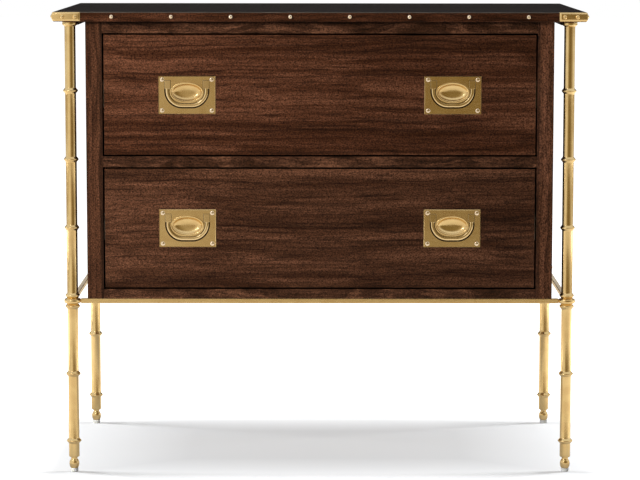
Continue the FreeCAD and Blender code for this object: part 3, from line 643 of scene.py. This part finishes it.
for index, (node, along, faces, rim) in enumerate(CASE_BOARDS):
    walnut, _ = grain(node + "_walnut", along, node, faces, rim=rim, shift=index * 1.7,
                      tones=STILE_TONES if node.endswith("stile") else RAIL_TONES,
                      wave=2.2 if along == 0 else 0.5)
    fit(ease(node, node.replace("_", "_walnut_", 1), 0.5), "chest", walnut, node)
# The battens' tones are darker and greyer than the rest of the walnut: painted shade under the slab.
batten_walnut, _ = grain("batten_walnut", 1, tones=PAINTED_SHADE_BATTEN_TONES)
fit(ease("top_battens", "top_walnut_battens", 0.5), "chest", batten_walnut, "top_battens")


# Drawers. Each front is one board of walnut with level grain, inset with a thin gap round it; the
# sides and back are dovetailed clear-lacquered boards, and the bottom is a panel in a groove.
LOWER_TONES = ((0.039, 0.0132, 0.0054), (0.082, 0.0315, 0.0146), (0.150, 0.060, 0.030))


def pale_wood(name, along):
    """Clear-lacquered ash for what is inside: fine even lines along one axis."""
    finish = Finish(name)
    fine, wide = [260, 260, 260], [24, 24, 24]
    fine[along], wide[along] = 6, 2
    lines = finish.noise(finish.place(fine), 1, 3, 0.6)
    bands = finish.noise(finish.place(wide), 1, 2)
    colour = finish.blend(lines * 0.5 + bands * 0.5, (0.52, 0.37, 0.22), (0.38, 0.25, 0.135))
    finish.set(Base_Color=colour, Roughness=0.42 + (lines - 0.5) * 0.1,
               Normal=finish.bump(lines, 0.00003, 0.4))
    return finish


# On the fronts, the sides seen in the gaps round them get the painted shade of grain.
upper_walnut, _ = grain("upper_front_walnut", 0, "upper_drawer_front", "xz")
lower_walnut, _ = grain("lower_front_walnut", 0, "lower_drawer_front", "xz", LOWER_TONES, shift=3.0)
wood_along_x = pale_wood("pale_wood_along_x", 0)
wood_along_y = pale_wood("pale_wood_along_y", 1)
for tier, front in (("upper", upper_walnut), ("lower", lower_walnut)):
    body = tier + "_drawer"
    fit(ease(body + "_front", tier + "_walnut_front", 0.7, 3), body, front, body + "_front")
    for board in ("left_side", "right_side", "back", "bottom"):
        node = body + "_" + board
        wood = wood_along_x if board == "back" else wood_along_y
        fit(ease(node, node + "_board", 0.3), body, wood, node)
for node in ("slide_packing_strips", "top_stretchers", "bottom_panel"):
    wood = wood_along_y if node == "slide_packing_strips" else wood_along_x
    fit(ease(node, node.replace("_", "_pale_", 1), 0.4), "chest", wood, node)


# Slides. Three zinc-plated steel channels nest on each side of a drawer, screwed to the packing
# strips and to the drawer's sides; the joint studs are of the same steel.
zinc = Finish("zinc_plate")
spangle = zinc.noise(zinc.place(), 300, 2)
rolled = zinc.noise(zinc.place((900, 20, 900)), 1, 2)
zinc.set(Base_Color=zinc.blend(spangle, (0.62, 0.62, 0.60), (0.50, 0.51, 0.52)), Metallic=1.0,
         Roughness=0.3 + rolled * 0.16, Normal=zinc.bump(rolled, 0.00001, 0.5))
for node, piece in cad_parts.items():
    if node.endswith("slides") or node == "joint_studs":
        piece.data.materials.clear()
        piece.data.materials.append(zinc.material)


# Pulls. Each is a cast and brushed brass plate let into the drawer front, with an oval bowl for the
# fingers and a channel in which the bail lies flush; four screws hold it. The upper left one is made
# and copied.
PULL_X = 217
PULL_LEVELS = {"upper": 626, "lower": 407}
FIRST_X, FIRST_Z = -PULL_X, PULL_LEVELS["upper"]
PLATE_FACE = -208.7
PLATE_HALF = (46.5, 31.25)
PLATE_THICK = 2
PLATE_BEVEL = 1.1
PAN_DEPTH = 10
PAN_WALL = 2
BOWL_HALF = (27.5, 17)
BOWL_RISE = 4.3
BAIL_HALF = 35
BAIL_BOTTOM = 20
BAIL_CORNER = 27
BAIL_THICK = 3
ROD = 6.2
LUG_TOP = 23.7
LUG_LENGTH = 13.5
LUG_WIDTH = 10
LUG_OUTSIDE = 36.5
GAP = 1.8
ROOM = 0.35
PAST = 1
RIM = [(1.5, 0), (0, 0), (-0.35, -0.15), (-0.55, -0.45), (-0.62, -0.9), (-0.62, -4)]
BOWL = [(6.0, -16.6), (5.9, -14.6), (5.65, -12.4), (5.2, -10.3), (4.6, -8.5), (3.8, -7.0),
        (2.9, -5.7), (1.9, -4.6), (1.0, -3.75), (0.25, -3.05), (-0.25, -2.45), (-0.5, -1.9),
        (-0.62, -1.3), (-2, -1.2)]


def loop(name, growth, top, near, far):
    """A solid with the outline of the bail, grown by so many mm: straight sides, two round bends and
    a flat top. It reaches from near to far behind the plate's face."""
    half, bottom, corner = (size + growth for size in (BAIL_HALF, BAIL_BOTTOM, BAIL_CORNER))
    bpy.ops.object.select_all(action="DESELECT")
    bpy.ops.mesh.primitive_plane_add(size=1, rotation=(math.radians(90), 0, 0),
                                     location=(FIRST_X * MM, (PLATE_FACE + near) * MM,
                                               (FIRST_Z + (top - bottom) / 2) * MM))
    piece = bpy.context.active_object
    piece.name = name
    piece.scale = (2 * half * MM, (top + bottom) * MM, 1)
    bpy.ops.object.transform_apply(location=True, rotation=True, scale=True)
    bpy.ops.object.mode_set(mode="EDIT")
    pick("VERT", lambda spot: spot.co.z < (FIRST_Z - bottom + 0.1) * MM)
    bpy.ops.mesh.bevel(offset=corner * MM, offset_type="OFFSET", segments=24, affect="VERTICES",
                       clamp_overlap=False)
    bpy.ops.mesh.select_all(action="SELECT")
    bpy.ops.mesh.remove_doubles(threshold=0.000002)
    bpy.ops.mesh.select_all(action="SELECT")
    bpy.ops.mesh.extrude_region_move(TRANSFORM_OT_translate={"value": (0, (far - near) * MM, 0)})
    bpy.ops.mesh.select_all(action="SELECT")
    bpy.ops.mesh.normals_make_consistent(inside=False)
    bpy.ops.object.mode_set(mode="OBJECT")
    return piece


def oval(name, profile):
    """An oval solid through the plate's face, round the middle of the bowl: pairs of depth behind the
    face and growth beyond the bowl's outline."""
    piece = turn(name, 0, 0, [(-depth, (BOWL_HALF[0] + growth, BOWL_HALF[1] + growth))
                              for depth, growth in profile], 64)
    piece.rotation_euler = (math.radians(90), 0, 0)
    piece.location = (FIRST_X * MM, PLATE_FACE * MM, (FIRST_Z + BOWL_RISE) * MM)
    return settle(piece)


def on_face(edge):
    """Whether an edge of the plate's block lies in its face."""
    return all(spot.co.y < (PLATE_FACE + 0.01) * MM for spot in edge.verts)


def in_channel(face):
    """Whether a face of the plate is the floor or a wall of the bail's channel."""
    floor = PLATE_FACE + BAIL_THICK + ROOM
    depths = [corner.co.y / MM for corner in face.verts]
    if all(abs(depth - floor) < 0.02 for depth in depths):
        return True
    middle = face.calc_center_median() / MM
    return (abs(face.normal.y) < 0.3
            and min(depths) > PLATE_FACE - 0.02 and max(depths) < floor + 0.02
            and abs(middle.x - FIRST_X) < BAIL_HALF + GAP + 0.1
            and -BAIL_BOTTOM - GAP - 0.1 < middle.z - FIRST_Z < LUG_TOP + ROOM + 0.1)


lug_foot = LUG_TOP - LUG_LENGTH - ROOM
between_lugs = LUG_OUTSIDE - LUG_WIDTH - ROOM
plate = block("first_plate", (FIRST_X - PLATE_HALF[0], FIRST_X + PLATE_HALF[0]),
              (PLATE_FACE, PLATE_FACE + PLATE_THICK),
              (FIRST_Z - PLATE_HALF[1], FIRST_Z + PLATE_HALF[1]), PLATE_BEVEL, on_face, 1)
pan = loop("pan", GAP + PAN_WALL, LUG_TOP + ROOM + PAN_WALL, PLATE_THICK / 2, PAN_DEPTH)
channel = loop("channel", GAP, LUG_TOP + ROOM, -PAST, BAIL_THICK + ROOM)
island = loop("island", -ROD - ROOM, lug_foot, -2 * PAST, BAIL_THICK + PAST)
neck = block("neck", (FIRST_X - between_lugs, FIRST_X + between_lugs),
             (PLATE_FACE - 2 * PAST, PLATE_FACE + BAIL_THICK + PAST),
             (FIRST_Z + lug_foot - 3 * PAST, FIRST_Z + LUG_TOP + ROOM + PAST))
plate = combine(plate, pan, "UNION")
channel = combine(channel, island, "DIFFERENCE")
channel = combine(channel, neck, "DIFFERENCE")
plate = combine(plate, channel, "DIFFERENCE")
plate = combine(plate, oval("rim", RIM), "UNION")
plate = combine(plate, oval("bowl", BOWL), "DIFFERENCE")
settle(plate, 28)

plate_brass = brushed("plate_brass", 0.24, (45, 1000, 1000))
# The floor and walls of the bail's channel are near-black brass: painted shade in the groove round the
# bail.
channel_shade_brass = brushed("painted_shade_channel", 0.5, (200, 200, 200), 0.00002,
                        (0.09, 0.05, 0.018), (0.05, 0.025, 0.01))
plate.data.materials.append(plate_brass.material)
plate.data.materials.append(channel_shade_brass.material)
choose(plate)
bpy.ops.object.mode_set(mode="EDIT")
pick("FACE", in_channel)
plate.active_material_index = 1
bpy.ops.object.material_slot_assign()
bpy.ops.object.mode_set(mode="OBJECT")
for tier, z in PULL_LEVELS.items():
    pair = [copy(plate, "%s_%s_plate" % (tier, side), across, 0, z - FIRST_Z)
            for side, across in (("left", 0), ("right", 2 * PULL_X))]
    fit(join(tier + "_flush_plates", pair), tier + "_drawer", None, tier + "_pull_plates")
bpy.data.objects.remove(plate)


# Bails. Each is a loop of flattened brass rod between two lugs, which turn on short pintles in the
# walls of the channel; the rod was drawn round its two bends and polished by use.
ROD_TOP = 12
BEND_LEVEL = 7
BEND_X = BAIL_HALF - BAIL_CORNER
LUG_EDGE = 0.55
PINTLE = [(-3, 0.9), (2.2, 0.9), (2.4, 0.7)]


def make_bail(name):
    """The upper left bail, at rest in its channel: the rod is drawn from its left end to its right."""
    y = (PLATE_FACE + BAIL_THICK / 2) * MM
    bpy.ops.object.select_all(action="DESELECT")
    bpy.ops.mesh.primitive_circle_add(
        vertices=20, radius=1, fill_type="NGON",
        location=((FIRST_X - (BAIL_HALF - ROD / 2)) * MM, y, (FIRST_Z + ROD_TOP) * MM))
    rod = bpy.context.active_object
    rod.name = name
    rod.scale = (ROD / 2 * MM, BAIL_THICK / 2 * MM, 1)
    bpy.ops.object.transform_apply(location=True, rotation=True, scale=True)
    bpy.ops.object.mode_set(mode="EDIT")
    bpy.ops.mesh.select_all(action="SELECT")

    def draw(x, z):
        bpy.ops.mesh.extrude_region_move(TRANSFORM_OT_translate={"value": (x * MM, 0, z * MM)})

    def bend(x):
        bpy.ops.mesh.spin(steps=18, angle=math.radians(90), axis=(0, 1, 0),
                          center=((FIRST_X + x) * MM, y, (FIRST_Z + BEND_LEVEL) * MM))

    draw(0, BEND_LEVEL - ROD_TOP)
    bend(-BEND_X)
    draw(2 * BEND_X, 0)
    bend(BEND_X)
    draw(0, ROD_TOP - BEND_LEVEL)
    bpy.ops.mesh.select_all(action="SELECT")
    bpy.ops.mesh.remove_doubles(threshold=0.000002)
    bpy.ops.mesh.normals_make_consistent(inside=False)
    bpy.ops.object.mode_set(mode="OBJECT")
    for side in (-1, 1):
        ends = sorted((FIRST_X + side * (LUG_OUTSIDE - LUG_WIDTH), FIRST_X + side * LUG_OUTSIDE))
        lug = block("lug", ends, (PLATE_FACE, PLATE_FACE + BAIL_THICK),
                    (FIRST_Z + LUG_TOP - LUG_LENGTH, FIRST_Z + LUG_TOP), LUG_EDGE, lambda edge: True)
        rod = combine(rod, lug, "UNION")
        pintle = turn("pintle", 0, 0, PINTLE, 20)
        pintle.rotation_euler = (0, math.radians(90 * side), 0)
        pintle.location = ((FIRST_X + side * LUG_OUTSIDE) * MM, y,
                           (FIRST_Z + LUG_TOP - BAIL_THICK / 2) * MM)
        rod = combine(rod, settle(pintle), "UNION")
    return settle(rod, flat=True)


bail_brass = brushed("bail_brass", 0.17, (200, 200, 200), 0.000004,
                     (0.88, 0.68, 0.38), (0.82, 0.61, 0.32))
bail = make_bail("bail")
for tier, z in PULL_LEVELS.items():
    for side, across in (("left", 0), ("right", 2 * PULL_X)):
        node = "%s_%s_bail" % (tier, side)
        twin = copy(bail, "%s_%s_swinging_bail" % (tier, side), across, 0, z - FIRST_Z)
        fit(twin, node, bail_brass, node)
bpy.data.objects.remove(bail)


# Plate screws. Slotted screws with low domed heads, polished pale, hold the four corners of each
# plate; no two slots of a drawer came to rest alike.
SCREW_RADIUS = 3.5
SCREW_DOME = 1.2
SCREW_INSET = 6
SLOT_HALF = 0.35
SLOT_FLOOR = 0.75
SLOT_TURN = 67

screw = dome("screw", SCREW_RADIUS, SCREW_DOME, 24)
slot = block("slot", (-4, 4), (-SLOT_HALF, SLOT_HALF), (SLOT_FLOOR, 2))
screw = settle(combine(screw, slot, "DIFFERENCE"), 30)
slot_angle = 20
for tier, z in PULL_LEVELS.items():
    screws = []
    for x in (-PULL_X, PULL_X):
        for across in (-1, 1):
            for up in (-1, 1):
                slot_angle = (slot_angle + SLOT_TURN) % 180
                turned = copy(screw, "screw")
                turned.rotation_euler = (0, 0, math.radians(slot_angle))
                choose(turned)
                bpy.ops.object.transform_apply(location=False, rotation=True, scale=False)
                place = (x + across * (PLATE_HALF[0] - SCREW_INSET), PLATE_FACE,
                         z + up * (PLATE_HALF[1] - SCREW_INSET))
                screws.append(drive(turned, "screw", place, "front"))
                bpy.data.objects.remove(turned)
    fit(join(tier + "_slotted_screws", screws), tier + "_drawer", bright_brass,
        tier + "_pull_screws")
bpy.data.objects.remove(screw)


# Floor and light. A white floor keeps the chest's soft shadow in a white surround; round the shadow it
# glows with painted light, which lifts the shadow's edges and turns the floor pure white beyond it,
# and metal sees that glow as a dim warm painted reflection. A lamp low at the front left, a faint one
# at the right and one overhead light the chest; the floor takes the overhead one and two low ones of
# its own, which draw the legs' shadows.
FLOOR_WHITE = (0.615, 0.63, 0.65)
FLOOR_BOUNCE = 0.4
FLOOR_PAINTED_REFLECTION = (0.46, 0.39, 0.27)
FADE_FOOT = 0.22
FADE_WIDTH = 0.12
SURROUND_MIRRORED = 0.85
AMBIENT = 0.21


def watched(finish):
    """Two masks of one or nought: where the camera looks, and where a metal or glass does."""
    camera_ray, glossy_ray, through_ray = (
        finish.node("ShaderNodeLightPath", output="Is %s Ray" % kind)
        for kind in ("Camera", "Glossy", "Transmission"))
    return camera_ray, glossy_ray.most(through_ray)


floor_finish = Finish("white_floor")
seen, mirrored = watched(floor_finish)
place_x, place_y = floor_finish.along("x"), floor_finish.along("y")
# Painted light: the floor's glow rises from nothing under the chest, through a low level at the feet,
# to full beyond.
painted_glow_mask = None
for reach, start, foot in ((place_x, 0.24, 0.44), (0 - place_x, 0.22, 0.44),
                           (place_y, 0.13, 0.22), (0 - place_y, 0.10, 0.23)):
    fade = floor_finish.node("ShaderNodeValToRGB", {"stops": [
        (start, (0, 0, 0)), (foot, (FADE_FOOT,) * 3), (foot + FADE_WIDTH, (1, 1, 1))]}, {0: reach})
    painted_glow_mask = painted_glow_mask.most(fade) if painted_glow_mask else fade
# The glow is white to the camera and a dim warm painted reflection to metal.
painted_glow = floor_finish.blend(mirrored, floor_finish.blend(seen, (0, 0, 0), (1, 1, 1)), FLOOR_PAINTED_REFLECTION)
floor_finish.set(Base_Color=floor_finish.blend(seen, (FLOOR_BOUNCE,) * 3, FLOOR_WHITE),
                 Roughness=1.0, Specular_IOR_Level=0.0, Emission_Strength=1.0,
                 Emission_Color=floor_finish.blend(painted_glow_mask, (0, 0, 0), painted_glow))
bpy.ops.object.select_all(action="DESELECT")
bpy.ops.mesh.primitive_plane_add(size=40, location=(0, 0, 0))
floor = bpy.context.active_object
floor.name = "studio_floor"
floor.data.materials.append(floor_finish.material)

surround = Finish("white_surround", world=True)
bpy.context.scene.world = surround.material
seen, mirrored = watched(surround)
surround.set(Color=(1, 1, 1), Strength=(AMBIENT + (1 - AMBIENT) * seen
                                        + (SURROUND_MIRRORED - AMBIENT) * mirrored))


def lamp(name, place, aim, size, power):
    """A soft lamp, so wide and high, turned to what it lights; brass and lacquer don't mirror it."""
    light = bpy.data.lights.new(name, "AREA")
    light.shape = "RECTANGLE"
    light.size, light.size_y = size
    light.energy = power
    holder = bpy.data.objects.new(name, light)
    bpy.context.scene.collection.objects.link(holder)
    holder.location = place
    holder.rotation_euler = (Vector(aim) - Vector(place)).to_track_quat("-Z", "Y").to_euler()
    holder.visible_glossy = False
    return holder


key = lamp("key_lamp", (-1.6, -1.3, 1.04), (-0.25, -0.2, 0.45), (0.8, 0.24), 37)
fill = lamp("fill_lamp", (2.6, -2.4, 1.6), (0.1, 0, 0.4), (1.6, 1.6), 0.5)
lamp("overhead_lamp", (0.2, 0, 3.2), (0, 0, 0), (0.9, 0.9), 31)
low_left = lamp("left_floor_lamp", (-2.5, 0.4, 0.75), (0, 0, 0), (0.9, 0.25), 110)
low_right = lamp("right_floor_lamp", (2.5, 0.4, 0.75), (0, 0, 0), (0.9, 0.25), 110)
for name, link, lamps in (("floor_kept_dark", "EXCLUDE", (key, fill)),
                          ("floor_lit_low", "INCLUDE", (low_left, low_right))):
    lit = bpy.data.collections.new(name)
    lit.objects.link(floor)
    lit.collection_objects[0].light_linking.link_state = link
    for holder in lamps:
        holder.light_linking.receiver_collection = lit


# Painted reflections. A long glowing sheet, pale at both ends, hangs before the chest, a dark one
# behind it, and a small bright card at the front left makes a painted glint; they are no lamps and
# glow for reflections only, so only polished and lacquered surfaces show them.
LONG_REFLECTION = ((-5, (0.8, 0.78, 0.72)), (-1.3, (0.95, 0.9, 0.8)), (-0.72, (0.72, 0.65, 0.52)),
              (-0.45, (0.5, 0.42, 0.29)), (-0.15, (0.36, 0.29, 0.17)), (0.15, (0.25, 0.185, 0.08)),
              (1.5, (0.22, 0.165, 0.07)), (3, (0.5, 0.44, 0.32)), (6, (0.65, 0.6, 0.5)))
REAR_REFLECTION = ((-3, (0.015,) * 3), (3, (0.015,) * 3))
GLINT_CARD = ((-1.9, (1, 1, 1)), (-1.4, (1, 1, 1)))


def card(name, x, y, z, shades, strength=1.0):
    """An upright glowing sheet or card, a painted reflection; its shades are pairs of place along x
    and colour.
    """
    finish = Finish(name)
    reflection_mottle = finish.noise(finish.place(), 3, 2)
    width = x[1] - x[0]
    stops = [((place - x[0]) / width, colour) for place, colour in shades]
    shade = finish.node("ShaderNodeValToRGB", {"stops": stops},
                        {0: (finish.along("x") - x[0]) * (1 / width)})
    finish.set(Base_Color=(0, 0, 0), Roughness=1.0, Specular_IOR_Level=0.0, Emission_Strength=strength,
               Emission_Color=finish.blend(1.0, shade, 0.7 + reflection_mottle * 0.6, "MULTIPLY"))
    bpy.ops.object.select_all(action="DESELECT")
    bpy.ops.mesh.primitive_plane_add(size=1, location=((x[0] + x[1]) / 2, y, (z[0] + z[1]) / 2),
                                     rotation=(math.radians(90), 0, 0))
    hung = bpy.context.active_object
    hung.name = name
    hung.scale = (width, z[1] - z[0], 1)
    bpy.ops.object.transform_apply(location=True, rotation=True, scale=True)
    hung.data.materials.append(finish.material)
    for ray in ("camera", "diffuse", "transmission", "volume_scatter", "shadow"):
        setattr(hung, "visible_" + ray, False)


card("long_painted_reflection", (-5, 9), -2.1, (0.0, 2.9), LONG_REFLECTION)
card("rear_painted_reflection", (-3, 3), 2.4, (0.86, 5.0), REAR_REFLECTION)
card("glint_card", (-1.95, -1.3), -2.08, (1.9, 2.5), GLINT_CARD, 9.0)

view_settings = bpy.context.scene.view_settings
view_settings.view_transform = "Standard"
